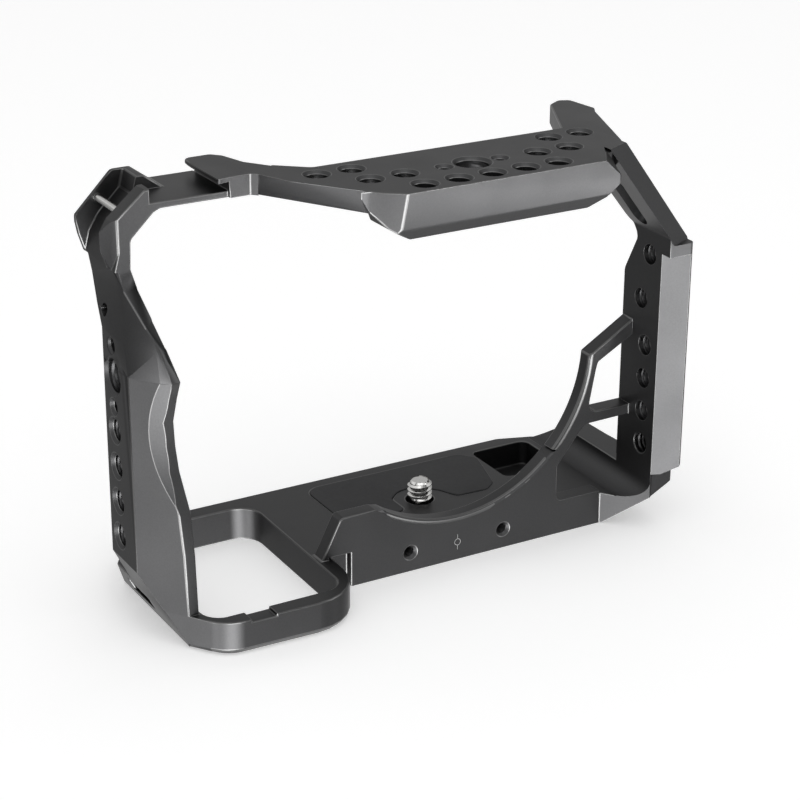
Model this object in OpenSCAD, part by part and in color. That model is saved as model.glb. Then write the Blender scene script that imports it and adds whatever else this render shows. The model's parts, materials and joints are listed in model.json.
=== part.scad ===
// Camera cage: a machined aluminium frame round a mirrorless camera body.
// Frame of the part: +X to the right seen from the lens side, the lens looks along -Y,
// +Z up, origin on the floor under the middle of the cage. Lengths are in millimetres.

/* [Cage] */
// Overall width
cage_w = 145.5; // [145.5:0.5:147]
// Overall depth
cage_d = 64; // [64:0.5:66]
// Overall height
cage_h = 106.5; // [106.5:0.5:108]

/* [Base plate] */
// Height of the base plate and of the grip loop
base_h = 8.7; // [8:0.1:9.2]
// Distance of the front wall from the front edge of the top plate
front_inset = 21.1; // [20.6:0.1:21.6]
// Thickness of the upright front wall
wall_t = 4.4; // [4:0.1:5]
// Right end of the grip loop, where the base plate starts
base_left = -21.5; // [-22:0.5:-21]

/* [Lens cut-out] */
// Middle of the lens cut-out along X
lens_x = 14.3; // [14:0.1:14.6]
// Height of the lens axis
lens_z = 50.3; // [50:0.1:50.6]
// Radius of the lens cut-out
lens_r = 38.3; // [38:0.1:38.6]

/* [Camera screw] */
// Position of the camera screw along X
screw_x = 14.6; // [14:0.1:15]
// Distance of the camera screw from the rear edge of the base plate
screw_inset = 23; // [22.6:0.1:23.4]
// Outer diameter of the 1/4 inch thread
screw_d = 6.35; // [6.3:0.05:6.35]
// Height of the screw tip over the floor
screw_top = 14; // [13.5:0.1:14.5]
// Diameter of the slotted screw head
head_d = 12.6; // [12:0.1:12.8]

/* [Mounting holes] */
// Distance between neighbouring mounting holes
pitch = 9; // [9:0.05:9.1]
// Wall diameter of a 1/4-20 hole
small_bore = 5.2; // [5.1:0.05:5.3]
// Wall diameter of a 3/8-16 hole
large_bore = 8; // [7.9:0.05:8.1]
// Diameter of a locating pin hole
pin_bore = 3; // [2.8:0.1:3.2]
// Width of the countersink round a mounting hole
sink_w = 0.8; // [0.5:0.1:1]

/* [Hidden] */

half_w = cage_w / 2;
half_d = cage_d / 2;
front_y = front_inset - half_d;
screw_y = half_d - screw_inset;
over = 1;
fine = 48;
far = 150;
shell_grey = "#4c4c4c";

// Side walls
left_x = -72.4;
strip_in_x = -65.4;
strip_rear_y = 5.1;
crease_y = -9.3;
right_in_x = 65.25;
wall_rear_y = -6.4;
wall_back_y = front_y + wall_t;
arm_start_z = 66;
arm_end_z = 88;
shoulder_z = 79;
foot_top_z = 16.4;
rim_top_z = 14.7;

// Slope under the left side: it runs from the strip down to the floor
slope_left_x = -64;
slope_left_z = 17;
// Slope under the right side
slope_right_x = 64;
slope_right_z = 10.3;

// Outline of a corner of radius p[i][2], cut into short steps
function arc_corner(a, b, c, r, n = 6) =
    let (u = (a - b) / norm(a - b), v = (c - b) / norm(c - b),
         half = acos(u * v) / 2, m = (u + v) / norm(u + v),
         o = b + m * r / sin(half),
         s = b + u * r / tan(half) - o, e = b + v * r / tan(half) - o,
         turn = 180 - 2 * half)
    [for (i = [0:n]) o + (s * sin((1 - i / n) * turn) + e * sin(i / n * turn)) / sin(turn)];

// A polygon from points [x, y] or [x, y, corner radius]
function rounded(p) = [for (i = [0:len(p) - 1])
    let (a = p[(i + len(p) - 1) % len(p)], b = p[i], c = p[(i + 1) % len(p)])
    each (len(b) < 3 ? [b] : arc_corner([a[0], a[1]], [b[0], b[1]], [c[0], c[1]], b[2]))];

// Points of an arc round c from angle a0 to angle a1
function arc(c, r, a0, a1, n = 24) =
    [for (i = [0:n]) c + r * [cos(a0 + (a1 - a0) * i / n), sin(a0 + (a1 - a0) * i / n)]];

// A plan outline between two heights
module plan(points, z0, z1) {
    translate([0, 0, z0]) linear_extrude(height = z1 - z0) polygon(rounded(points));
}

// A front view outline between two depths
module front(points, y0, y1) {
    translate([0, y1, 0]) rotate([90, 0, 0])
        linear_extrude(height = y1 - y0) polygon(rounded(points));
}

// A side view outline between two widths
module side(points, x0, x1) {
    translate([x0, 0, 0]) rotate([90, 0, 90])
        linear_extrude(height = x1 - x0) polygon(rounded(points));
}

// The space on the outer side of a plane through p with the given tilt and heading
module beyond(p, tilt, heading) {
    translate(p) rotate([0, tilt, heading])
        translate([0, 0, far]) cube(2 * far, center = true);
}

// A hole along the local Z axis with a countersink at its upper end
module sunk_hole(d, depth) {
    translate([0, 0, -depth]) cylinder(d = d, h = depth + over, $fn = fine);
    translate([0, 0, -sink_w]) cylinder(d1 = d, d2 = d + 2 * sink_w + over,
        h = sink_w + over / 2, $fn = fine);
}

// Base plate
rim_rear_y = 22;
base_tail = [[62, 28.6], [52, half_d]];
rim_side = [[-half_d, 0], [half_d, 0], [half_d, base_h], [28, base_h], [22, 12.8], [18, rim_top_z, 2],
            [-half_d, rim_top_z]];
pocket = [[41.3, 9.5, 2], [58.5, 9.5, 2], [58.5, 27.2, 2], [41.3, 27.2, 2]];
pocket_floor = 2;
pad_floor = 7.6;
pad_top = 8.9;
pad_gap = 0.15;
pad_outline = [[-9, 28, 4], [37.5, 28, 4], [41, 23.5, 3], [36.5, 8, 3], [33, 5.2, 2], [24, 5.7, 2],
               [21.5, 11, 2], [screw_x, 18.5, 6.7], [8, 12, 2], [8, 4.6, 2], [-9, 4.6, 4]];
shank_gap_d = 7.2;
head_room_d = 15.2;
head_room_z = 6.4;
foot_fillet = 5.5;
side_screw_d = 2.5;
side_screw_z = 5.2;
side_screw_x = [0.4, 27.6];
side_screw_depth = 8;
key_l = 46;
key_w = 9;
key_t = 2;
key_gap = 0.25;
key_x = 6;
key_y = 25;
key_z = 0.5;
magnet_d = 5;
magnet_t = 2;
magnet_x = [-8, 20];
finger_y = 31;
finger_r = 4;
finger_w = 12;

// The round step from the floor of the base plate up to the right wall
foot_curve = arc([right_in_x - foot_fillet, base_h + foot_fillet], foot_fillet, -90, 0);
right_section = concat([[base_left, 0], [slope_right_x, 0], [half_w, slope_right_z]],
    [[half_w, rim_top_z], [right_in_x, rim_top_z]], [for (i = [len(foot_curve) - 1:-1:0]) foot_curve[i]],
    [[base_left, base_h]]);

module screw_hole(z0, z1, d) {
    translate([screw_x, screw_y, z0]) cylinder(d = d, h = z1 - z0, $fn = fine);
}

module side_screw_holes() {
    for (x = side_screw_x) translate([x, front_y, side_screw_z]) rotate([90, 0, 0])
        sunk_hole(side_screw_d, side_screw_depth);
}

module key_space(gap, bottom, top) {
    plan([[key_x - key_l / 2 - gap, key_y - key_w / 2 - gap, 2],
          [key_x + key_l / 2 + gap, key_y - key_w / 2 - gap, 2],
          [key_x + key_l / 2 + gap, key_y + key_w / 2 + gap, 2],
          [key_x - key_l / 2 - gap, key_y + key_w / 2 + gap, 2]], bottom, top);
}

module magnets() {
    for (x = magnet_x) translate([x, key_y, key_z + key_t]) cylinder(d = magnet_d, h = magnet_t, $fn = fine);
}

module base_plate() {
    color(shell_grey) difference() {
        intersection() {
            front(right_section, wall_back_y, half_d);
            plan([[base_left, wall_back_y], [half_w, wall_back_y], [half_w, rim_rear_y, 6],
                  base_tail[0], base_tail[1], [base_left, half_d]], 0, rim_top_z);
            side(rim_side, -half_w, half_w);
        }
        plan(pocket, pocket_floor, rim_top_z + over);
        plan(pad_outline, pad_floor, rim_top_z + over);
        screw_hole(-over, rim_top_z, shank_gap_d);
        screw_hole(-over, head_room_z, head_room_d);
        screw_hole(clip_z, clip_z + clip_t, clip_groove_d);
        side_screw_holes();
        key_space(key_gap, -over, key_z + key_t);
        translate([0, finger_y, key_z + key_t]) rotate([0, 90, 0]) cylinder(r = finger_r, h = finger_w, $fn = fine);
        magnets();
    }
}

// Front wall with the lens cut-out
lug_left = [[base_left, base_h], [-24.5, base_h], [-23.7, 10.3], [-19.2, 19.2, 1.5], [-9.5, 19.2, 1.5]];
lip_z = 9.3;
wall_end_x = 57.4;
clamp_left_x = 43.8;
wall_mid_z = 14;
wall_tip_z = 24;
notch_x = -16.5;
notch_depth = 2;

module lens_space() {
    translate([lens_x, 0, lens_z]) rotate([90, 0, 0])
        cylinder(r = lens_r, h = cage_d, center = true, $fn = 180);
}

module front_wall() {
    color(shell_grey) difference() {
        front(concat([[base_left, 0]], lug_left, [[lens_x, wall_mid_z], [clamp_left_x, wall_tip_z]],
            [[clamp_left_x, lip_z, 1.5], [wall_end_x, lip_z], [wall_end_x, 0]]), front_y, wall_back_y);
        lens_space();
        side_screw_holes();
        translate([base_left - over, front_y - over, -over])
            cube([notch_x - base_left + over, notch_depth + over, lip_z + over]);
    }
}

// Brace between the lens cut-out and the right wall
brace_top_z = 55.5;
window_upper = [[67, 52.3], [55, 45.8, 1.5], [52.5, 32.3, 2.5], [67, 32.3]];
window_lower = [[67, 29.6], [51.9, 29.3, 2], [49.7, 26.9, 1.5], [clamp_left_x, 19.55], [clamp_left_x, 0], [67, 0]];
brace_outline = [[clamp_left_x, lip_z], [clamp_left_x, wall_tip_z], [40, wall_tip_z], [52, 47.6, 1],
                 [right_in_x, brace_top_z], [right_in_x, lip_z]];

module lens_brace() {
    color(shell_grey) difference() {
        front(brace_outline, front_y, wall_back_y);
        lens_space();
        front(window_upper, front_y - over, wall_back_y + over);
        front(window_lower, front_y - over, wall_back_y + over);
    }
}

// Grip loop
loop_front_left_y = -28.6;
loop_front_right_y = -29.6;
loop_corner = 13;
loop_open = [[-61.2, -24.5, 5], [-25.6, -24.5, 5], [-25.2, 26.9, 6], [-54.5, 26.9, 5], [-61.2, 16.5, 5]];
loop_plan = [[left_x, crease_y], [-58.5, loop_front_left_y, 9], [base_left, loop_front_right_y, loop_corner],
             [base_left, half_d], [-56, half_d, 6], [left_x, 6.7]];
loop_notch = [-52.3, -46];
loop_notch_depth = 0.7;
loop_notch_end = -15;
slot_over = 0.3;
strap_slot_y = [-2, 10];
strap_slot_z = [2.5, 5.5];

// The sloping underside of the left side, as a cutter in the front view
module left_slope() {
    front([[left_x - over, -over], [slope_left_x, -over], [slope_left_x, 0], [left_x, slope_left_z],
           [left_x - over, slope_left_z]], -far, far);
}

module grip_loop() {
    color(shell_grey) difference() {
        plan(loop_plan, 0, base_h);
        plan(loop_open, -over, base_h + over);
        left_slope();
        translate([loop_notch[0], -half_d, base_h - loop_notch_depth])
            cube([loop_notch[1] - loop_notch[0], half_d + loop_notch_end, over]);
        translate([left_x, strap_slot_y[0], strap_slot_z[0]])
            cube([slope_left_x - left_x + slot_over, strap_slot_y[1] - strap_slot_y[0], strap_slot_z[1] - strap_slot_z[0]]);
    }
}

// Left wall: a strip with holes, and a panel that turns to the front
panel_plan = [[left_x, strip_rear_y], [left_x, crease_y], [-61.8, -24.4], [-60.3, -24.4],
              [-64.2, -14.9], [strip_in_x, -12], [strip_in_x, strip_rear_y]];
scallop_z = 53.5;
scallop_low = 46.3;
scallop_high = 50;
scallop_bend = 110;
scallop_tilt = -120;
scallop_step = 2;
scallop_ends = [34, arm_start_z];
panel_front = [[-20.5, base_h], [-20, 24], [-19.2, 34], [-18, 38], [-16.2, 44], [-15.3, 50], [-15, 56],
               [-16.3, 62], [-17.4, arm_start_z]];
left_hole_z = 22.7;
hole_z = [for (i = [0:3]) left_hole_z + i * pitch];
left_large_z = 63.2;
side_depth = 14;
left_pin_gap = 7.55;

module scallop() {
    rotate([0, 0, scallop_tilt]) translate([0, far, 0]) rotate([90, 0, 0])
        linear_extrude(height = 2 * far) polygon(concat([[0, 0], [scallop_high, 0]],
            [for (z = [scallop_ends[0]:scallop_step:scallop_ends[1]])
                [scallop_low + (z - scallop_z) * (z - scallop_z) / scallop_bend, z]],
            [[0, arm_start_z]]));
}

module left_hole(d, y, z) {
    translate([left_x, y, z]) rotate([0, -90, 0]) sunk_hole(d, side_depth);
}

module left_wall() {
    color(shell_grey) difference() {
        intersection() {
            plan(panel_plan, base_h, arm_start_z);
            scallop();
            side(concat([[far, base_h]], panel_front, [[far, arm_start_z]]), -cage_w, 0);
        }
        left_slope();
        for (z = hole_z) left_hole(small_bore, 0, z);
        left_hole(large_bore, 0, left_large_z);
        left_hole(pin_bore, 0, left_large_z - left_pin_gap);
    }
}

// Upper arm of the left wall, lofted through plan sections [height, points]
arm_sections = [
    [arm_start_z, [left_x, strip_rear_y], [left_x, crease_y], [-67.6, -16.1], [-65.3, -17.4],
     [-63.5, -17.4], [strip_in_x, -12], [strip_in_x, strip_rear_y]],
    [73.5, [left_x, strip_rear_y], [-72.3, -7.5], [-67.9, -15.6], [-66.8, -16.1], [-65, -14],
     [strip_in_x, -10], [strip_in_x, strip_rear_y]],
    [78, [-71.6, 9.3], [-71, -4.5], [-68.7, -11.7], [-68.1, -11.8], [-65.1, -7.3], [-65.5, -5.9], [-65.7, 9.3]],
    [84, [-70.4, 14.5], [-70.2, 0], [-69.8, -2.8], [-69.3, -3], [-65.9, -1.5], [-66.2, 1], [-66.4, 14.5]],
    [arm_end_z, [-70.8, 15.5], [-70.8, 0.8], [-70.1, -0.2], [-69.6, -0.5], [-66.8, -0.5], [-66.8, 1], [-66.8, 15.5]]];
strip_hole = [5, 77.7];
arm_strip = [1, 2, 6, 7];
arm_panel = [2, 3, 4, 5, 6];
arm_whole = [1, 2, 3, 4, 5, 6, 7];
arm_steps = len(arm_sections) - 2;
skin = 0.01;

module arm_slice(section, corners) {
    translate([0, 0, section[0]]) linear_extrude(height = skin) polygon([for (i = corners) section[i]]);
}

module left_arm() {
    color(shell_grey) difference() {
        for (i = [0:arm_steps], corners = i < arm_steps ? [arm_strip, arm_panel] : [arm_whole]) hull() {
            arm_slice(arm_sections[i], corners);
            translate([0, 0, -skin]) arm_slice(arm_sections[i + 1], corners);
        }
        left_hole(large_bore, 0, left_large_z);
        left_hole(pin_bore, 0, left_large_z + left_pin_gap);
        left_hole(pin_bore, strip_hole[0], strip_hole[1]);
    }
}

// Strap corner
corner_front_y = -0.5;
corner_rear_y = 18;
bar_z = [101.35, 103];
bar_x = [-53.9, -42.3];
corner_inner = [[-66.8, arm_end_z], [-66.5, 95, 2], [-60.7, 100.6, 1], [-59, bar_z[0]]];
corner_outline = concat(corner_inner, [[bar_x[0], bar_z[0]], [bar_x[0], bar_z[1]], [-58.7, cage_h, 1], [-63.4, cage_h, 1.5],
                        [-half_w, 97, 0.8], [-half_w, 95.4, 0.8], [-72.2, 92.5, 2], [-70.8, arm_end_z]]);
block_outline = concat(corner_inner, [[-59, bar_z[1]], [-61.5, bar_z[1]], [-61.5, 106.2], [-62.8, 106.2, 0.5], [-70.5, 99.6, 1],
                       [-half_w, 95.8], [-72.4, 92.5], [-70.8, arm_end_z]]);
core_outline = concat(corner_inner, [[bar_x[0], bar_z[0]], [bar_x[0], bar_z[1]], [-61, bar_z[1]], [-67.2, 96.8, 1], [-69.5, 93],
                      [-70.8, arm_end_z]]);
block_rear_y = 4;
cheek = [-69.7, -0.5];
cheek_heading = -150;
web_t = 1.4;
web_outline = [[bar_x[0], bar_z[1]], [-58.7, cage_h, 1], [-60.5, cage_h], [-62, 101]];
web_y = [9.5, 18];
pin_at = [-67.2, 100.6];
pin_d = 1.8;
pin_y = [3, 17.3];

module strap_corner() {
    color(shell_grey) difference() {
        union() {
            difference() {
                front(block_outline, corner_front_y, block_rear_y);
                beyond([cheek[0], cheek[1], 0], 90, cheek_heading);
            }
            front(core_outline, corner_front_y, corner_rear_y);
            front(corner_outline, corner_rear_y - web_t, corner_rear_y);
            front(web_outline, web_y[0], web_y[1]);
        }
        strap_pin_body();
    }
}

module strap_pin_body() {
    translate([pin_at[0], pin_y[1], pin_at[1]]) rotate([90, 0, 0])
        cylinder(d = pin_d, h = pin_y[1] - pin_y[0], $fn = fine);
}

module strap_pin() {
    color("silver") strap_pin_body();
}

// Bar across the top between the strap corner and the wing
module cross_bar() {
    color(shell_grey) translate([bar_x[0], corner_front_y, bar_z[0]])
        cube([bar_x[1] - bar_x[0], corner_rear_y - corner_front_y, bar_z[1] - bar_z[0]]);
}

// Wing and neck of the top plate
wing_t = 1.1;
neck_z = bar_z[0];
neck_cut_x = -30;
wing_plan = [[-42.3, -1.4], [-45.4, -2.2, 0.5], [-45.4, 17.5, 2], [-38.3, 17.5, 2], [-36, 15, 2],
             [-34, 8, 2], [neck_cut_x, 2.5], [neck_cut_x, -13.5], [-31.8, -11.1], [-35.6, -2.5, 2], [-37, -1.3]];

neck_top = [-31.8, -11.1];
neck_under = 110;
neck_heading = -148;
neck_back_x = -35.6;

// The undercut side of the neck, which starts behind the wing
module neck_side() {
    intersection() {
        beyond([neck_top[0], neck_top[1], cage_h], neck_under, neck_heading);
        translate([neck_back_x, -far, 0]) cube([far, 2 * far, far]);
    }
}

module wing_arm() {
    color(shell_grey) difference() {
        plan(wing_plan, neck_z, cage_h);
        translate([-half_w, -half_d, 0]) cube([half_w + bar_x[1], cage_d, cage_h - wing_t]);
        neck_side();
    }
}

// Top plate with its hole field and the front beak
plate_nose = [42.5, -28.3];
plate_inner = [46.1, -3.8];
plate_plan = [[neck_cut_x, -13.5], [-19.9, -26.7], [-17.4, -28.9], [-13.1, -half_d], [40, -half_d], plate_nose,
              [63.5, 7.3], [62.3, 16.4, 1.5], [59.9, 18.3, 1.5], [55.8, 15.8, 1.5],
              plate_inner, [-22.4, -3.8, 3], [neck_cut_x, 2.5]];
plate_z = bar_z[0];
beak_back_y = -26;
beak_z = 94.8;
beak_plan = [[-22, beak_back_y], [-19.9, -26.7], [-17.4, -28.9], [-13.1, -half_d], [44, -half_d], [46.5, -30],
             [46.5, beak_back_y]];
beak_view = [[-22, plate_z], [-14.4, 96.5, 1], [-11.3, beak_z, 1], [37, beak_z, 2], [41.5, 97, 2], [45, 100.2, 2],
             [45, cage_h], [-22, cage_h]];
beak_side = [[-half_d, cage_h], [-31.2, 98], [-29.6, beak_z], [beak_back_y, beak_z], [beak_back_y, cage_h]];
beak_lip_y = -31;
beak_end_tilt = 49.8;
beak_end_heading = -34;
hole_shift = 2.25;
hole_x = lens_x - hole_shift;
hole_y = -18;
top_depth = 26;
// Column and row of each small hole, counted from the large hole
holes = [[-4, 1], [-3, 1], [-3, 0], [-2, 0], [-2, -1], [-1, -1], [0, -1], [1, -1], [2, -1], [2, 0],
         [3, 0], [3, 1], [4, 1]];

module beak() {
    difference() {
        intersection() {
            plan(beak_plan, beak_z, cage_h);
            front(beak_view, -half_d, beak_back_y);
            side(beak_side, -half_w, half_w);
        }
        beyond([plate_nose[0], plate_nose[1], cage_h], beak_end_tilt, beak_end_heading);
    }
}

module top_plate() {
    color(shell_grey) difference() {
        union() {
            plan(plate_plan, plate_z, cage_h);
            beak();
        }
        difference() {
            front(beak_view, -half_d, beak_lip_y);
            side(beak_side, -half_w, half_w);
        }
        neck_side();
        for (h = holes) translate([hole_x + h[0] * pitch, hole_y + h[1] * pitch, cage_h])
            sunk_hole(small_bore, top_depth);
        translate([hole_x, hole_y, cage_h]) sunk_hole(large_bore, top_depth);
        for (s = [-1, 1]) translate([hole_x + s * left_pin_gap, hole_y, cage_h]) sunk_hole(pin_bore, top_depth);
    }
}

// Right shoulder
shoulder_front_y = -25;
shoulder_in = [[right_in_x, shoulder_z], [right_in_x, 80.9, 1], [46.5, 105.8]];
shoulder_out = [[46, cage_h], [52.9, cage_h, 1], [half_w, 79.5, 1]];
shoulder_side = [[shoulder_front_y, shoulder_z], [shoulder_front_y, cage_h], [7, cage_h], [0, 101], [-8, 93],
                 [-8, 82.5, 3], [-10.8, shoulder_z]];
ledge_plan = [[40, -30], [45, -26.5], [54, -18.3, 3], [63.5, 7.3], [57, 7.3], [47, -14]];
ledge_z = [plate_z, cage_h - 0.6];
ledge_cut = [[47.6, -3.8], [57.3, 15.8], [40, 15.8], [40, -3.8]];
facet_point = [46.5, shoulder_front_y, 105.8];
facet_tilt = 72;
facet_heading = -64;
slot_mid = [59, -15, 89];
slot_tilt = 53;
slot_w = 5.5;
slot_l = 17;

// The front face of the shoulder, which turns a little to the right and up
module shoulder_facet() {
    beyond(facet_point, facet_tilt, facet_heading);
}

module right_shoulder() {
    color(shell_grey) difference() {
        union() {
            intersection() {
                front(concat([[half_w, shoulder_z]], shoulder_in, shoulder_out), shoulder_front_y, half_d);
                side(shoulder_side, 0, cage_w);
            }
            plan(ledge_plan, ledge_z[0], ledge_z[1]);
        }
        shoulder_facet();
        plan(plate_plan, plate_z, cage_h + over);
        beak();
        plan(ledge_cut, plate_z, cage_h + over);
        translate(slot_mid) rotate([0, slot_tilt, 0]) for (s = [-1, 1])
            translate([s * (slot_l - slot_w) / 2, 0, 0]) cylinder(d = slot_w, h = cage_d / 2, center = true, $fn = fine);
        translate(slot_mid) rotate([0, slot_tilt, 0])
            cube([slot_l - slot_w, slot_w, cage_d / 2], center = true);
    }
}

// Right wall
wall_plan = [[right_in_x, wall_rear_y], [right_in_x, -25], [71.8, -25, 0.5], [half_w, -24.2], [half_w, wall_rear_y]];
wall_facet = [[64, -21.1], [71.8, -25], [64, -26]];
wall_facet_z = [0, 76];
foot_front_y = -21;
wall_toe = [[right_in_x - over, foot_top_z - over], [right_in_x, foot_top_z - over], [half_w, 19], [half_w + over, 0],
            [right_in_x - over, 0]];
wall_side = [[wall_rear_y, foot_top_z], [wall_rear_y, 68, 4], [-11.3, 77.5, 2], [-10.8, shoulder_z], [-26, shoulder_z],
             [-26, foot_top_z]];
right_hole_y = -16.35;
right_first_z = 23.3;
right_hole_z = [for (i = [0:3]) right_first_z + i * pitch];
right_upper = [[-13.9, 62.2], [-16.7, 74.6]];

module right_hole(y, z) {
    translate([half_w, y, z]) rotate([0, 90, 0]) sunk_hole(small_bore, side_depth);
}

module right_wall() {
    color(shell_grey) difference() {
        intersection() {
            plan(wall_plan, foot_top_z, shoulder_z);
            side(wall_side, 0, cage_w);
        }
        plan(wall_facet, wall_facet_z[0], wall_facet_z[1]);
        front(wall_toe, -half_d, foot_front_y);
        for (z = right_hole_z) right_hole(right_hole_y, z);
        for (h = right_upper) right_hole(h[0], h[1]);
    }
}

// Foot between the base plate and the right wall
foot_plan = [[wall_end_x, wall_back_y], [wall_end_x, front_y], [right_in_x, -21.7], [right_in_x + over, foot_front_y, 0.5],
             [half_w, foot_front_y, 1], [half_w, wall_back_y]];
foot_section = concat([[wall_end_x, 0], [slope_right_x, 0], [half_w, slope_right_z], [half_w, foot_top_z],
                       [right_in_x, foot_top_z]],
                      [for (i = [len(foot_curve) - 1:-1:0]) foot_curve[i]], [[wall_end_x, base_h]]);

foot_facet = [58.6, -11.8, 0.8];
foot_facet_tilt = 143;
foot_facet_heading = -47;

module right_foot() {
    color(shell_grey) difference() {
        intersection() {
            front(foot_section, -half_d, wall_back_y);
            plan(foot_plan, 0, foot_top_z);
        }
        beyond(foot_facet, foot_facet_tilt, foot_facet_heading);
    }
}

// Camera screw and what holds it
head_z = [3.2, 5.6];
washer_t = 0.7;
washer_d = 14.4;
clip_z = 0.3;
clip_t = 0.9;
clip_groove_d = 17;
clip_in_d = 11.4;
clip_gap = 4;
clip_cut = 3;
slot_depth = 1.4;
slot_width = 1.6;
tip_chamfer = 0.7;
neck_d = 5;
washer_gap = 0.15;

module camera_screw() {
    color("silver") difference() {
        union() {
            screw_hole(head_z[0], head_z[1], head_d);
            screw_hole(head_z[1], pad_top, neck_d);
            screw_hole(pad_top, screw_top - tip_chamfer, screw_d);
            translate([screw_x, screw_y, screw_top - tip_chamfer])
                cylinder(d1 = screw_d, d2 = screw_d - 2 * tip_chamfer, h = tip_chamfer, $fn = fine);
        }
        translate([screw_x, screw_y, head_z[0]]) cube([head_d + over, slot_width, 2 * slot_depth], center = true);
    }
}

module screw_washer() {
    color("black") difference() {
        screw_hole(head_z[1], head_z[1] + washer_t, washer_d);
        screw_hole(head_z[1] - over, head_z[1] + washer_t + over, screw_d + washer_gap);
    }
}

module screw_clip() {
    color("silver") difference() {
        screw_hole(clip_z, clip_z + clip_t, clip_groove_d);
        screw_hole(clip_z - over, clip_z + clip_t + over, clip_in_d);
        translate([screw_x, screw_y + clip_in_d / 2, clip_z]) cube([clip_gap, clip_in_d, clip_cut], center = true);
    }
}

module rubber_pad() {
    color("#161616") plan(pad_outline, pad_floor, pad_top);
}

module driver_key() {
    color("silver") key_space(0, key_z, key_z + key_t);
}

module key_magnets() {
    color("silver") magnets();
}

base_plate();
front_wall();
lens_brace();
grip_loop();
left_wall();
left_arm();
strap_corner();
cross_bar();
wing_arm();
top_plate();
right_shoulder();
right_wall();
right_foot();
strap_pin();
camera_screw();
screw_washer();
screw_clip();
rubber_pad();
driver_key();
key_magnets();
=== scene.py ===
import json
import math

import bmesh
import bpy
import numpy
from mathutils import Matrix, Vector
from mathutils.bvhtree import BVHTree
from mathutils.kdtree import KDTree


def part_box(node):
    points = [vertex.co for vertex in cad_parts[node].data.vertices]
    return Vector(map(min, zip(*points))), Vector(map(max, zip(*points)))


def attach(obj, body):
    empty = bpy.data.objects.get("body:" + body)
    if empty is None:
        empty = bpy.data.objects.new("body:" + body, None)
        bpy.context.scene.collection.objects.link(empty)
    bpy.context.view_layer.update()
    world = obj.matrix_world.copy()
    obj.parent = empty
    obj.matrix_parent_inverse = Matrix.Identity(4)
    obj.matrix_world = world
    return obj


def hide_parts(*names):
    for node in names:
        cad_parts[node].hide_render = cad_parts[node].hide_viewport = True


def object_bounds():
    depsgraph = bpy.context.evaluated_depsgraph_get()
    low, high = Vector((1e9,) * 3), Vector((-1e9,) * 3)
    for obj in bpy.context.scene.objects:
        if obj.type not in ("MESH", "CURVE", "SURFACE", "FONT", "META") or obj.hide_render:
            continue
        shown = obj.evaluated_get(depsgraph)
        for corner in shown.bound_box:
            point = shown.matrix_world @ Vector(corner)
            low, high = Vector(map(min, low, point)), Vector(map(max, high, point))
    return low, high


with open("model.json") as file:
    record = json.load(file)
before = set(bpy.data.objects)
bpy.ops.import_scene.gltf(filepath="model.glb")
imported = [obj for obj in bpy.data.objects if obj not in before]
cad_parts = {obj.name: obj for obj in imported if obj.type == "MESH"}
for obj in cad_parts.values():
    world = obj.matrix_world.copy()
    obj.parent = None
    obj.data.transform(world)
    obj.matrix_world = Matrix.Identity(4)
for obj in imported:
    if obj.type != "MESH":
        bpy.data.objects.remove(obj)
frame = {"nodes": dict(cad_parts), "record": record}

cad_low, cad_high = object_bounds()

# Cage frame.
# One block of aluminium, milled, bead-blasted and anodised dark grey, with its edges
# broken by a small chamfer. It carries everything else: screwed, pressed or glued to it.
frame_members = ("base_plate", "front_wall", "lens_brace", "grip_loop", "left_wall", "left_arm",
                 "strap_corner", "cross_bar", "wing_arm", "top_plate", "right_shoulder",
                 "right_wall", "right_foot")
broken_edge = 0.0004
same_place, shortest_edge = 1e-6, 0.00006
flat_within, sharp_from = math.radians(0.6), math.radians(23)


def merged_copy(node):
    """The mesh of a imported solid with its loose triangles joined."""
    shape = bmesh.new()
    shape.from_mesh(frame["nodes"][node].data)
    bmesh.ops.remove_doubles(shape, verts=shape.verts, dist=same_place)
    return shape


def piece_from(shape, name):
    """A new object with its place in its mesh."""
    mesh = bpy.data.meshes.new(name)
    shape.to_mesh(mesh)
    shape.free()
    piece = bpy.data.objects.new(name, mesh)
    bpy.context.scene.collection.objects.link(piece)
    return piece


def joined(names):
    """One closed solid from members that touch face to face."""
    members = [piece_from(merged_copy(node), node + "_copy") for node in names]
    first = members[0]
    for other in members[1:]:
        weld = first.modifiers.new("weld", "BOOLEAN")
        weld.operation, weld.solver, weld.object = "UNION", "MANIFOLD", other
    solid = bmesh.new()
    solid.from_object(first, bpy.context.evaluated_depsgraph_get())
    for member in members:
        bpy.data.objects.remove(member)
    bmesh.ops.remove_doubles(solid, verts=solid.verts, dist=shortest_edge)
    inner = [face for face in solid.faces if all(len(edge.link_faces) > 2 for edge in face.edges)]
    bmesh.ops.delete(solid, geom=inner, context="FACES_ONLY")
    bmesh.ops.dissolve_degenerate(solid, edges=solid.edges, dist=shortest_edge)
    bmesh.ops.dissolve_limit(solid, angle_limit=flat_within, verts=solid.verts, edges=solid.edges)
    return solid


def sharp_edges(shape):
    return [edge for edge in shape.edges if edge.is_manifold and edge.calc_face_angle(0) > sharp_from]


def beveled(shape, width, segments, edge_material):
    """The shape after a bevel whose width on each edge is its bevel weight."""
    blank = piece_from(shape.copy(), "blank")
    for slot_number in range(2):
        blank.data.materials.append(None)
    cut = blank.modifiers.new("cut", "BEVEL")
    cut.limit_method, cut.width, cut.segments = "WEIGHT", width, segments
    cut.use_clamp_overlap, cut.loop_slide, cut.material = False, True, edge_material
    cut.miter_outer = "MITER_SHARP"
    result = bmesh.new()
    result.from_object(blank, bpy.context.evaluated_depsgraph_get())
    bpy.data.objects.remove(blank)
    return result


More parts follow.
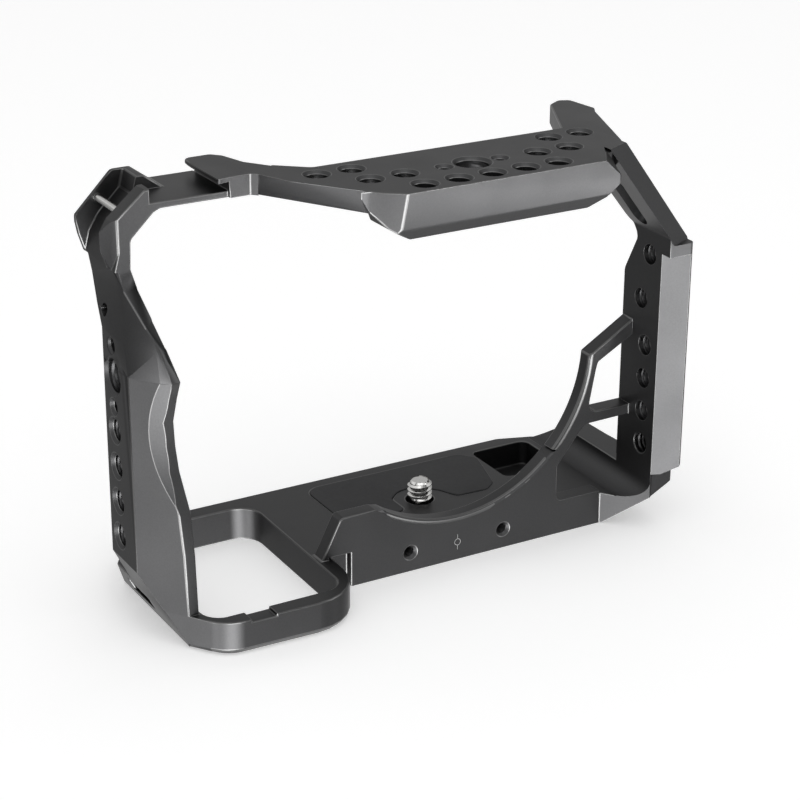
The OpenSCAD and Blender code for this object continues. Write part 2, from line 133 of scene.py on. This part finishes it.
def crossings(face):
    """Where the outline of a face crosses itself."""
    across = face.normal.orthogonal().normalized()
    frame_2d = numpy.array([across, face.normal.cross(across)])
    points = numpy.array([vertex.co for vertex in face.verts]) @ frame_2d.T
    ends = numpy.roll(points, -1, axis=0)
    runs = ends - points

    def side(start, run, point):
        gap = point[None, :, :] - start[:, None, :]
        return run[:, None, 0] * gap[:, :, 1] - run[:, None, 1] * gap[:, :, 0]

    cut = side(points, runs, points) * side(points, runs, ends) < 0
    first, second = numpy.nonzero(numpy.triu(cut & cut.T, 2))
    return [face.verts[i].co.lerp(face.verts[(i + 1) % len(points)].co, 0.5) for i in (*first, *second)]


# A face below speck_area is not judged, and a wide one with many corners only by its outline.
# wide_face and far_off are multiples of the chamfer's width, and turned_over is a cosine.
speck_area, wide_face = 4e-9, 3
far_off, turned_over = 0.56, -0.05


def folded(face, tree, width):
    """The places of a chamfered face that lie off the shape, or that are turned over."""
    area = face.calc_area()
    if area < speck_area:
        return []
    if len(face.verts) > 4 and area > (wide_face * width) ** 2:
        return crossings(face)
    centre = face.calc_center_median()
    normal, index, distance = tree.find_nearest(centre)[1:]
    if distance > far_off * width or face.normal.dot(normal) < turned_over:
        return [centre]
    return crossings(face) if len(face.verts) > 3 else []


# From this cosine on, a neighbour lies ahead on the same line and not beside it.
ahead_from = 0.8


def room_beside(edges, reach, step):
    """For each edge, how far away the nearest edge is that runs beside it or towards it."""
    places = []
    for edge in edges:
        a, b = edge.verts[0].co.copy(), edge.verts[1].co.copy()
        steps = max(1, int(edge.calc_length() / step))
        places += [(a.lerp(b, i / steps), edge) for i in range(steps + 1)]
    near = KDTree(len(places))
    for i, (place, edge) in enumerate(places):
        near.insert(place, i)
    near.balance()
    room = dict.fromkeys(edges, reach)
    for place, edge in places:
        along = (edge.verts[1].co - edge.verts[0].co).normalized()
        for found, i, distance in near.find_range(place, reach):
            other = places[i][1]
            if other is edge or distance >= room[edge] or set(other.verts) & set(edge.verts):
                continue
            if abs((found - place).normalized().dot(along)) < ahead_from:
                room[edge] = distance
    return room, places, near


# The steps of a rim are shorter than rim_step, and the corner between two of them is wider
# than the angle whose cosine is rim_turn.
rim_step, rim_turn = 0.0009, -0.77


def rims(edges):
    """Groups of short edges that follow one another round a hole or a corner."""
    short = {edge for edge in edges if edge.calc_length() < rim_step}
    groups, seen = [], set()
    for start in edges:
        if start not in short or start in seen:
            continue
        group, waiting = [], [start]
        seen.add(start)
        while waiting:
            edge = waiting.pop()
            group.append(edge)
            for vertex in edge.verts:
                here = (edge.other_vert(vertex).co - vertex.co).normalized()
                for other in vertex.link_edges:
                    if other in short and other not in seen:
                        if here.dot((other.other_vert(vertex).co - vertex.co).normalized()) < rim_turn:
                            seen.add(other)
                            waiting.append(other)
        groups.append(group)
    return groups


def evened(groups, weight):
    """One width all round each rim."""
    for group in groups:
        least = min(edge[weight] for edge in group)
        for edge in group:
            edge[weight] = least


# A chamfer takes room_share of the room beside it, widens by taper of the way along, and
# narrows to narrower of itself in the gentle rounds. After them, or below least_share of its
# full width, it is left off. Reaches are multiples of that width.
# Chamfer faces take material slot edge_slot; on the cage that slot holds a lighter copy of the anodising, a
# painted highlight along the broken edges.
edge_slot = 1
room_reach, room_share = 2.5, 0.4
taper, taper_rounds = 0.5, 8
narrower, least_share = 0.6, 0.12
gentle_rounds, rounds = 4, 9
narrow_reach, reach_growth = 1.3, 0.5


def break_edges(shape, width, segments=2, share=None):
    """A small chamfer on every sharp edge, narrower or left off where the full one would fold over."""
    shape.normal_update()
    tree = BVHTree.FromBMesh(shape)
    weight = shape.edges.layers.float.new("bevel_weight_edge")
    edges = sharp_edges(shape)
    groups = rims(edges)
    room, places, near = room_beside(edges, room_reach * width, width / 2)
    for edge in edges:
        edge[weight] = min(share(edge) if share else 1.0, room_share * room[edge] / width)
    evened(groups, weight)
    for turn in range(taper_rounds):
        for edge in (edge for edge in edges if edge[weight] > 0):
            beside = [other[weight] for vertex in edge.verts for other in vertex.link_edges
                      if other[weight] > 0]
            edge[weight] = min(edge[weight], min(beside) + taper * edge.calc_length() / width)
    evened(groups, weight)
    for turn in range(rounds):
        result = beveled(shape, width, segments, edge_slot)
        bad = [place for face in result.faces for place in folded(face, tree, width)]
        if turn == rounds - 1 or not bad:
            break
        reach = (narrow_reach + reach_growth * max(0, turn - gentle_rounds)) * width
        narrowed = {places[i][1] for place in bad for found, i, distance in near.find_range(place, reach)}
        for edge in narrowed:
            gently = turn < gentle_rounds and edge[weight] > least_share
            edge[weight] = edge[weight] * narrower if gently else 0
        evened(groups, weight)
        result.free()
    shape.free()
    return result


crease_from, flat_pull = math.radians(32), 60


def shade(piece, crease=crease_from, also_smooth=None):
    """Smooth shading on curved walls and broken edges, flat shading on flat walls."""
    shape = bmesh.new()
    shape.from_mesh(piece.data)
    for face in shape.faces:
        face.smooth = True
    for edge in shape.edges:
        edge.smooth = (not edge.is_manifold or edge.calc_face_angle(0) < crease
                       or bool(also_smooth and also_smooth(edge)))
    shape.to_mesh(piece.data)
    shape.free()
    flat = piece.modifiers.new("flat_faces", "WEIGHTED_NORMAL")
    flat.keep_sharp = True
    flat.weight = flat_pull


flank_right, flank_front, flank_turn = -0.058, -0.008, math.radians(50)
flank_low, flank_high = 0.0655, 0.0885
foot_low, foot_high = 0.0082, 0.0092


def on_arm(edge):
    """The curved flank above the strip and its foot on the loop, whose facets stand for smooth blends."""
    middle = (edge.verts[0].co + edge.verts[1].co) / 2
    above = flank_low < middle.z < flank_high
    foot = foot_low < middle.z < foot_high and middle.y < flank_front
    return middle.x < flank_right and (above or foot) and edge.calc_face_angle(0) < flank_turn


scallop_left, scallop_right = -0.07, -0.055
scallop_low, scallop_high = 0.03, 0.07


def on_scallop(edge):
    """The hollow cut into the front of the left flank."""
    middle = (edge.verts[0].co + edge.verts[1].co) / 2
    return (scallop_left < middle.x < scallop_right and middle.y < flank_front
            and scallop_low < middle.z < scallop_high)


crisp_share = 0.3
countersink_from, countersink_to, countersink_step = 43, 47, 0.0012


def edge_share(edge):
    """Countersinks and the scallop keep a crisp rim, the flank has no broken edge, the rest is full."""
    turn = math.degrees(edge.calc_face_angle(0))
    if on_arm(edge):
        return 0
    countersunk = countersink_from < turn < countersink_to and edge.calc_length() < countersink_step
    return crisp_share if on_scallop(edge) or countersunk else 1.0


def wide_chamfer(shape, width, wanted):
    """One flat chamfer along the edges that wanted picks."""
    shape.normal_update()
    chosen = [edge for edge in sharp_edges(shape) if wanted(edge)]
    bmesh.ops.bevel(shape, geom=chosen, offset=width, offset_type="OFFSET", segments=1, profile=0.5,
                    affect="EDGES", clamp_overlap=True, loop_slide=True, material=-1)


lens_axis = Vector((0.0143, 0.0503))
lens_radius, lens_front, lens_chamfer = 0.0383, -0.0109, 0.0007
rim_slack, plane_slack = 0.0001, 0.00005


def on_lens_rim(edge):
    """The front rim of the round opening for the lens."""
    return all(abs((Vector((vertex.co.x, vertex.co.z)) - lens_axis).length - lens_radius) < rim_slack
               and abs(vertex.co.y - lens_front) < plane_slack for vertex in edge.verts)


loop_right, loop_front, loop_chamfer = -0.0215, -0.0095, 0.0014
loop_slack, upright_within = 0.0002, 0.1
loop_middle = Vector((-0.04, 0, 0))


def under_loop(edge):
    """The outer edge of the grip loop's underside, along its front."""
    outward = sum((face.normal for face in edge.link_faces if abs(face.normal.z) < upright_within), Vector())
    low = all(vertex.co.z < plane_slack and vertex.co.x < loop_right + loop_slack
              and vertex.co.y < loop_front for vertex in edge.verts)
    return low and outward.dot(edge.verts[0].co - loop_middle) > 0


seam_z, seam_gap, seam_slack, seam_right = 0.066, 0.0004, 2e-5, -0.06
cage_shape = joined(frame_members)
arm_seam = [vertex for vertex in cage_shape.verts
            if vertex.co.x < seam_right and abs(vertex.co.z - seam_z) < seam_slack]
bmesh.ops.remove_doubles(cage_shape, verts=arm_seam, dist=seam_gap)
bmesh.ops.dissolve_degenerate(cage_shape, edges=cage_shape.edges, dist=shortest_edge)
wide_chamfer(cage_shape, lens_chamfer, on_lens_rim)
wide_chamfer(cage_shape, loop_chamfer, under_loop)
cage_shape = break_edges(cage_shape, broken_edge, share=edge_share)
for vertex in cage_shape.verts:
    vertex.co = [min(max(place, low), high) for place, low, high in zip(vertex.co, cad_low, cad_high)]
cage = piece_from(cage_shape, "cage_frame")
shade(cage, also_smooth=on_arm)
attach(cage, "frame")
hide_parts(*frame_members)


grain_height, tint_size, streak_size, streak_stretch = 0.00003, 0.6, 0.5, 0.04
patch_size, smoother, rougher = 60, 0.93, 1.07
noise_low, noise_high = 0.3, 0.7


def metal(name, colour, roughness, metallic=1.0, grain=0.0, grain_size=4000, wear=0.0, streak=0.0):
    """A Principled surface with blasted grain, uneven roughness and faint marks from the mill."""
    material = bpy.data.materials.new(name)
    material.use_nodes = True
    tree = material.node_tree
    surface = tree.nodes["Principled BSDF"]
    surface.inputs["Metallic"].default_value = metallic
    place = tree.nodes.new("ShaderNodeTexCoord").outputs["Object"]

    def noise(scale, detail, stretch=(1, 1, 1)):
        turned = tree.nodes.new("ShaderNodeMapping")
        turned.inputs["Scale"].default_value = stretch
        tree.links.new(place, turned.inputs["Vector"])
        pattern = tree.nodes.new("ShaderNodeTexNoise")
        pattern.inputs["Scale"].default_value = scale
        pattern.inputs["Detail"].default_value = detail
        tree.links.new(turned.outputs["Vector"], pattern.inputs["Vector"])
        return pattern.outputs["Fac"]

    def spread(value, low, high):
        scaled = tree.nodes.new("ShaderNodeMapRange")
        scaled.inputs["From Min"].default_value = noise_low
        scaled.inputs["From Max"].default_value = noise_high
        scaled.inputs["To Min"].default_value, scaled.inputs["To Max"].default_value = low, high
        tree.links.new(value, scaled.inputs["Value"])
        return scaled.outputs["Result"]

    tint = tree.nodes.new("ShaderNodeMix")
    tint.data_type = "RGBA"
    tint.inputs["A"].default_value = [c * (1 - wear) for c in colour] + [1]
    tint.inputs["B"].default_value = [c * (1 + wear) for c in colour] + [1]
    tree.links.new(spread(noise(grain_size * tint_size, 2), 0, 1), tint.inputs["Factor"])
    tree.links.new(tint.outputs["Result"], surface.inputs["Base Color"])
    uneven = spread(noise(patch_size, 3), roughness * smoother, roughness * rougher)
    tree.links.new(uneven, surface.inputs["Roughness"])
    bump = tree.nodes.new("ShaderNodeBump")
    bump.inputs["Strength"].default_value = grain
    bump.inputs["Distance"].default_value = grain_height
    height = noise(grain_size, 1)
    if streak:
        lines = tree.nodes.new("ShaderNodeMath")
        lines.operation = "MULTIPLY_ADD"
        lines.inputs[1].default_value = streak
        tree.links.new(noise(grain_size * streak_size, 1, (1, 1, streak_stretch)), lines.inputs[0])
        tree.links.new(height, lines.inputs[2])
        height = lines.outputs["Value"]
    tree.links.new(height, bump.inputs["Height"])
    tree.links.new(bump.outputs["Normal"], surface.inputs["Normal"])
    return material


anodised = metal("dark_grey_anodised", (0.055, 0.055, 0.056), 0.42, grain=0.35, wear=0.05)
# The chamfer faces of the cage get a lighter copy of the anodising, a painted highlight along every broken
# edge.
anodised_painted_highlight = metal("anodised_painted_highlight", (0.13, 0.13, 0.13), 0.36, grain=0.1, wear=0.04)
cage.data.materials.append(anodised)
cage.data.materials.append(anodised_painted_highlight)


# Threads of the accessory holes.
# Each 1/4"-20 and 3/8"-16 hole, and the two small ones of the front wall, are tapped, so a
# helical ridge runs down the wall. It is cut from the frame and anodised with it.
hole_ridge, accessory_radius = 0.0003, 0.0026
ridge_root, half_foot, half_crest, run_out = 0.00004, 0.42, 0.06, 0.3
thread_pitches = ((0.003, 0.0015875), (0.002, 0.00127), (0, 0.0005))
ridge_crease = math.radians(50)


def thread_ridge(shape, place, axis, radius, pitch, length, depth, sides=28):
    """A helical ridge of triangular section on the wall of a hole, or on a shank with a negative depth."""
    turned = axis.to_track_quat("Z", "Y").to_matrix()
    rows = []
    steps = int(length / pitch * sides)
    for i in range(steps + 1):
        angle = 2 * math.pi * i / sides
        rise = pitch * i / sides
        fade = min(1.0, i / (sides * run_out), (steps - i) / (sides * run_out))
        out = Vector((math.cos(angle), math.sin(angle), 0))
        foot, crest = radius + math.copysign(ridge_root, depth), radius - depth * fade
        section = ((foot, rise - half_foot * pitch), (crest, rise - half_crest * pitch),
                   (crest, rise + half_crest * pitch), (foot, rise + half_foot * pitch))
        rows.append([shape.verts.new(place + turned @ (out * r + Vector((0, 0, z)))) for r, z in section])
    for low, high in zip(rows, rows[1:]):
        for k in range(4):
            shape.faces.new((low[k], low[(k + 1) % 4], high[(k + 1) % 4], high[k]))
    shape.faces.new(rows[0][::-1])
    shape.faces.new(rows[-1])


def hole_threads(name, prefixes):
    """The ridges of every threaded hole of the record whose name starts with one of the prefixes."""
    shape = bmesh.new()
    for mount in frame["record"]["mounts"]:
        if mount["kind"] != "threaded_hole" or not mount["name"].startswith(prefixes):
            continue
        axis, radius = Vector(mount["axis"]), mount["dims"]["r_mm"] / 1000
        length = mount["dims"]["length_mm"] / 1000
        pitch = next(pitch for least, pitch in thread_pitches if radius > least)
        start = Vector(mount["pos_m"]) - axis * (length / 2 - pitch / 2)
        depth = hole_ridge * min(1, radius / accessory_radius)
        thread_ridge(shape, start, axis, radius, pitch, length - pitch, depth)
    bmesh.ops.recalc_face_normals(shape, faces=shape.faces)
    piece = piece_from(shape, name)
    shade(piece, ridge_crease)
    piece.data.materials.append(anodised)
    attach(piece, "frame")


hole_threads("top_threads", ("top_",))
hole_threads("left_threads", ("left_",))
hole_threads("right_threads", ("right_",))
hole_threads("front_threads", ("front_",))


# Strap bar.
# A plain round steel pin pressed into both cheeks of the strap corner. It is turned and
# polished, and its ends sit inside the aluminium.
def dressed(node, name, body, material, width, segments=2):
    """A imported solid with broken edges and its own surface."""
    shape = merged_copy(node)
    bmesh.ops.dissolve_limit(shape, angle_limit=flat_within, verts=shape.verts, edges=shape.edges)
    piece = piece_from(break_edges(shape, width, segments), name)
    shade(piece)
    piece.data.materials.append(material)
    piece.data.materials.append(material)
    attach(piece, body)
    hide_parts(node)


polished_steel = metal("polished_steel", (0.66, 0.655, 0.64), 0.2, grain=0.06, grain_size=2500, wear=0.03)
satin_steel = metal("satin_steel", (0.42, 0.42, 0.42), 0.38, grain=0.2, grain_size=2500, wear=0.06,
                    streak=1.0)
dressed("strap_pin", "strap_bar", "frame", polished_steel, 0.00015)


# Camera screw.
# A stainless 1/4"-20 screw with a slotted head below the base plate and a thinner neck
# that keeps it captive. Only its threaded tip stands up through the pad.
screw_axis = Vector((0.0146, 0.009, 0))
screw_low, screw_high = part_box("camera_screw")
thread_foot, thread_end, chamfer = 0.0089, screw_high[2], 0.0007
core_radius, crest_radius, screw_pitch = 0.00255, 0.003165, 0.00127
head_low, head_high, head_radius, neck_radius = screw_low[2], 0.0056, 0.0063, 0.0025
slot_half, slot_depth = 0.0008, 0.0014
thread_stop, screw_sides = 0.6, 40


def turned_shape(profile, centre, sides=64):
    """A solid of revolution about the upright axis through centre."""
    shape = bmesh.new()
    line = [shape.verts.new((r, 0, z)) for r, z in profile]
    for a, b in zip(line, line[1:]):
        shape.edges.new((a, b))
    bmesh.ops.spin(shape, geom=shape.verts[:] + shape.edges[:], cent=(0, 0, 0), axis=(0, 0, 1),
                   dvec=(0, 0, 0), angle=2 * math.pi, steps=sides, use_merge=True, use_duplicate=False)
    bmesh.ops.remove_doubles(shape, verts=shape.verts, dist=same_place)
    bmesh.ops.recalc_face_normals(shape, faces=shape.faces)
    bmesh.ops.translate(shape, vec=centre, verts=shape.verts)
    return shape


screw_profile = [(0, head_low), (head_radius - 0.0004, head_low), (head_radius - 0.0001, head_low + 0.0001),
                 (head_radius, head_low + 0.0004), (head_radius, head_high - 0.0003),
                 (head_radius - 0.0003, head_high), (neck_radius + 0.0003, head_high),
                 (neck_radius, head_high + 0.0003), (neck_radius, thread_foot - 0.0002),
                 (core_radius, thread_foot), (core_radius, thread_end - chamfer),
                 (core_radius - 0.0001, thread_end - 0.0004), (core_radius - 0.0005, thread_end),
                 (0, thread_end)]
screw = piece_from(turned_shape(screw_profile, screw_axis), "camera_screw_turned")
slot_shape = bmesh.new()
bmesh.ops.create_cube(slot_shape, size=1, matrix=Matrix.Translation(screw_axis + Vector((0, 0, head_low)))
                      @ Matrix.Diagonal((4 * head_radius, 2 * slot_half, 2 * slot_depth, 1)))
slot_cutter = piece_from(slot_shape, "slot_cutter")
slot_cut = screw.modifiers.new("slot", "BOOLEAN")
slot_cut.operation, slot_cut.solver, slot_cut.object = "DIFFERENCE", "EXACT", slot_cutter
slotted = bmesh.new()
slotted.from_object(screw, bpy.context.evaluated_depsgraph_get())
for spent in (screw, slot_cutter):
    bpy.data.objects.remove(spent)
thread_length = thread_end - chamfer * thread_stop - thread_foot
thread_ridge(slotted, screw_axis + Vector((0, 0, thread_foot)), Vector((0, 0, 1)), core_radius, screw_pitch,
             thread_length, core_radius - crest_radius, screw_sides)
bmesh.ops.recalc_face_normals(slotted, faces=slotted.faces)
screw = piece_from(slotted, "camera_screw_turned")
shade(screw)
screw.data.materials.append(polished_steel)
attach(screw, "screw")
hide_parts("camera_screw")


# Screw washer.
# A thin black nylon ring between the head of the camera screw and the base plate. It is
# loose on the shank and moves up and down with the screw.
nylon = metal("black_nylon", (0.022, 0.022, 0.023), 0.55, metallic=0.0, grain=0.4, grain_size=1800, wear=0.1)
dressed("screw_washer", "washer", "screw_carrier", nylon, 0.00015)


# Snap ring.
# A split spring-steel ring in a groove of the base plate. It sits under the screw head
# and keeps the screw from falling out.
dressed("screw_clip", "snap_ring", "frame", satin_steel, 0.00012)


# Rubber pad.
# A matt black rubber sheet glued into a shallow pocket of the base plate, so that the
# camera does not slip and is not scratched.
rubber = metal("black_rubber", (0.016, 0.016, 0.017), 0.72, metallic=0.0, grain=0.6, grain_size=1500,
               wear=0.15)
dressed("rubber_pad", "grip_pad", "frame", rubber, 0.0003, segments=3)


# Driver key.
# A flat steel blade that turns the camera screw. Two magnets hold it in a recess under
# the base plate, and a finger notch lets it out.
dressed("driver_key", "flat_key", "key", satin_steel, 0.0003)


# Key magnets.
# Two nickel-plated discs glued into the ceiling of the key recess. They hold the key by
# its upper face.
nickel = metal("nickel_plate", (0.7, 0.69, 0.66), 0.15, grain=0.05, grain_size=2500, wear=0.02)
dressed("key_magnets", "magnet_discs", "frame", nickel, 0.00015)


# Centre mark.
# A thin ring crossed by an upright line, engraved in the front wall below the lens and
# filled with white paint. It shows where the middle of the lens is.
mark_centre = Vector((0.0141, -0.0109, 0.0049))
mark_radius, mark_line, mark_half_height, mark_proud = 0.00085, 0.00011, 0.0021, 0.00001
paint = metal("white_paint", (0.8, 0.8, 0.8), 0.5, metallic=0.0, grain=0.1, wear=0.02)
mark_shape = bmesh.new()


def painted_strip(points, closed):
    """A flat line along points [x, z] on the front wall."""
    rows = []
    for i, (x, z) in enumerate(points):
        before = points[i - 1] if closed or i else points[i]
        after = points[(i + 1) % len(points)] if closed or i < len(points) - 1 else points[i]
        run = Vector((after[0] - before[0], after[1] - before[1])).normalized() * (mark_line / 2)
        rows.append([mark_shape.verts.new(mark_centre + Vector((x + s * run.y, -mark_proud, z - s * run.x)))
                     for s in (1, -1)])
    pairs = list(zip(rows, rows[1:])) + ([(rows[-1], rows[0])] if closed else [])
    for (a, b), (c, d) in pairs:
        mark_shape.faces.new((a, b, d, c))


painted_strip([(mark_radius * math.cos(math.radians(a)), mark_radius * math.sin(math.radians(a)))
               for a in range(0, 360, 10)], True)
for low, high in ((-mark_half_height, -mark_radius), (mark_radius, mark_half_height)):
    painted_strip([(0, low), (0, high)], False)
bmesh.ops.recalc_face_normals(mark_shape, faces=mark_shape.faces)
mark = piece_from(mark_shape, "centre_mark")
mark.data.materials.append(paint)
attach(mark, "frame")


# Camera.
# A long lens, above the cage and to the left as seen from the lens side, and turned by a
# third of a degree. Headings are counted from the lens side, in degrees.
lens_mm, film_mm = 100.735, 36
azimuth, elevation, roll = -29.95, 22.75, math.radians(0.30)
camera_place = Vector((-0.2516018, -0.4426042, 0.2560779))


def direction(heading, height):
    """The unit vector from the cage towards a heading and a height."""
    h, e = math.radians(heading), math.radians(height)
    return Vector((math.sin(h) * math.cos(e), -math.cos(h) * math.cos(e), math.sin(e)))


photo_camera = bpy.data.cameras.new("photo_camera")
photo_camera.lens, photo_camera.sensor_width, photo_camera.sensor_fit = lens_mm, film_mm, "HORIZONTAL"
photo_camera.clip_start, photo_camera.clip_end = 0.01, 20
camera = bpy.data.objects.new("photo_camera", photo_camera)
bpy.context.scene.collection.objects.link(camera)
back = direction(azimuth, elevation)
level = Vector((math.cos(math.radians(azimuth)), math.sin(math.radians(azimuth)), 0))
right = math.cos(roll) * level + math.sin(roll) * back.cross(level)
turned_up = back.cross(right)
camera.matrix_world = Matrix(((right.x, turned_up.x, back.x, camera_place.x),
                              (right.y, turned_up.y, back.y, camera_place.y),
                              (right.z, turned_up.z, back.z, camera_place.z),
                              (0, 0, 0, 1)))
bpy.context.scene.camera = camera


# Floor.
# A wide sheet of matt white paper under the cage. It keeps the cage's shadow, and it is
# lifted to white only where it is looked at.
floor_half, paper_white, paper_roughness, paper_lift = 3, 0.92, 0.9, 0.32


def seen_directly(tree):
    """1 for camera, glossy and transmission rays, 0 for the rays that carry light to the cage."""
    ray = tree.nodes.new("ShaderNodeLightPath")
    seen = ray.outputs["Is Camera Ray"]
    for kind in ("Is Glossy Ray", "Is Transmission Ray"):
        either = tree.nodes.new("ShaderNodeMath")
        either.operation = "MAXIMUM"
        tree.links.new(seen, either.inputs[0])
        tree.links.new(ray.outputs[kind], either.inputs[1])
        seen = either.outputs["Value"]
    return seen


floor_shape = bmesh.new()
bmesh.ops.create_grid(floor_shape, x_segments=1, y_segments=1, size=floor_half)
floor = piece_from(floor_shape, "floor")
floor.visible_glossy = False
paper = bpy.data.materials.new("white_paper")
paper.use_nodes = True
paper_tree = paper.node_tree
paper_surface = paper_tree.nodes["Principled BSDF"]
paper_surface.inputs["Base Color"].default_value = (paper_white, paper_white, paper_white, 1)
paper_surface.inputs["Roughness"].default_value = paper_roughness
paper_surface.inputs["Emission Color"].default_value = (1, 1, 1, 1)
lift = paper_tree.nodes.new("ShaderNodeMath")
lift.operation = "MULTIPLY"
lift.inputs[1].default_value = paper_lift
paper_tree.links.new(seen_directly(paper_tree), lift.inputs[0])
paper_tree.links.new(lift.outputs["Value"], paper_surface.inputs["Emission Strength"])
floor.data.materials.append(paper)


# Lamps.
# One large softbox hangs above the cage. One small lamp with a narrow beam lights the
# sloping face below the front edge of the top plate.
cage_middle, beak_middle = Vector((0, 0, 0.05)), Vector((0.015, -0.031, 0.100))


def softbox(name, heading, height, distance, size, power, size_y=None, aim=cage_middle, spread=180):
    """A soft lamp that faces the place it is aimed at."""
    lamp = bpy.data.lights.new(name, "AREA")
    lamp.shape, lamp.size, lamp.size_y, lamp.energy = "RECTANGLE", size, size_y or size, power
    lamp.spread = math.radians(spread)
    box = bpy.data.objects.new(name, lamp)
    bpy.context.scene.collection.objects.link(box)
    place = direction(heading, height) * distance
    box.location = place + aim
    box.rotation_euler = place.to_track_quat("Z", "Y").to_euler()
    box.visible_camera = False


softbox("top_box", -20, 65, 1.3, 1.2, 4)
softbox("beak_card", 34, -27, 0.17, 0.16, 0.017, size_y=0.04, aim=beak_middle, spread=40)


# Studio.
# A plain grey room for the rays that carry light. Where it is looked at, or mirrored, it is
# white, with soft brighter and darker areas for reflector boards and black cards.
room_light = 0.6
reflectors = ((-16, -24, 12, 25, 9.0), (-72, -25, 6, 20, 6.0), (-38, -48, 6, 22, 7.0),
              (60, 14, 8, 24, 2.5), (94, -4, 16, 36, -0.85), (28, -8, 12, 28, -0.7),
              (150, 23, 20, 65, -0.45), (-140, -23, 20, 48, -0.6))
world = bpy.data.worlds.new("studio")
bpy.context.scene.world = world
world.use_nodes = True
sky = world.node_tree
grey = sky.nodes["Background"]
grey.inputs["Color"].default_value = (1, 1, 1, 1)
grey.inputs["Strength"].default_value = room_light
white = sky.nodes.new("ShaderNodeBackground")
white.inputs["Color"].default_value = (1, 1, 1, 1)
looking = sky.nodes.new("ShaderNodeTexCoord").outputs["Generated"]
level_of_white = None
for heading, height, full, faded, amount in reflectors:
    toward = sky.nodes.new("ShaderNodeVectorMath")
    toward.operation = "DOT_PRODUCT"
    toward.inputs[1].default_value = direction(heading, height)
    sky.links.new(looking, toward.inputs[0])
    soft = sky.nodes.new("ShaderNodeMapRange")
    soft.interpolation_type = "SMOOTHSTEP"
    soft.inputs["From Min"].default_value = math.cos(math.radians(faded))
    soft.inputs["From Max"].default_value = math.cos(math.radians(full))
    soft.inputs["To Min"].default_value, soft.inputs["To Max"].default_value = 0, amount
    sky.links.new(toward.outputs["Value"], soft.inputs["Value"])
    total = sky.nodes.new("ShaderNodeMath")
    total.operation = "ADD"
    total.inputs[0].default_value = 1.0
    if level_of_white:
        sky.links.new(level_of_white, total.inputs[0])
    sky.links.new(soft.outputs["Result"], total.inputs[1])
    level_of_white = total.outputs["Value"]
sky.links.new(level_of_white, white.inputs["Strength"])
pick = sky.nodes.new("ShaderNodeMixShader")
sky.links.new(seen_directly(sky), pick.inputs["Fac"])
sky.links.new(grey.outputs["Background"], pick.inputs[1])
sky.links.new(white.outputs["Background"], pick.inputs[2])
sky.links.new(pick.outputs["Shader"], sky.nodes["World Output"].inputs["Surface"])
bpy.context.scene.view_settings.view_transform = "Standard"
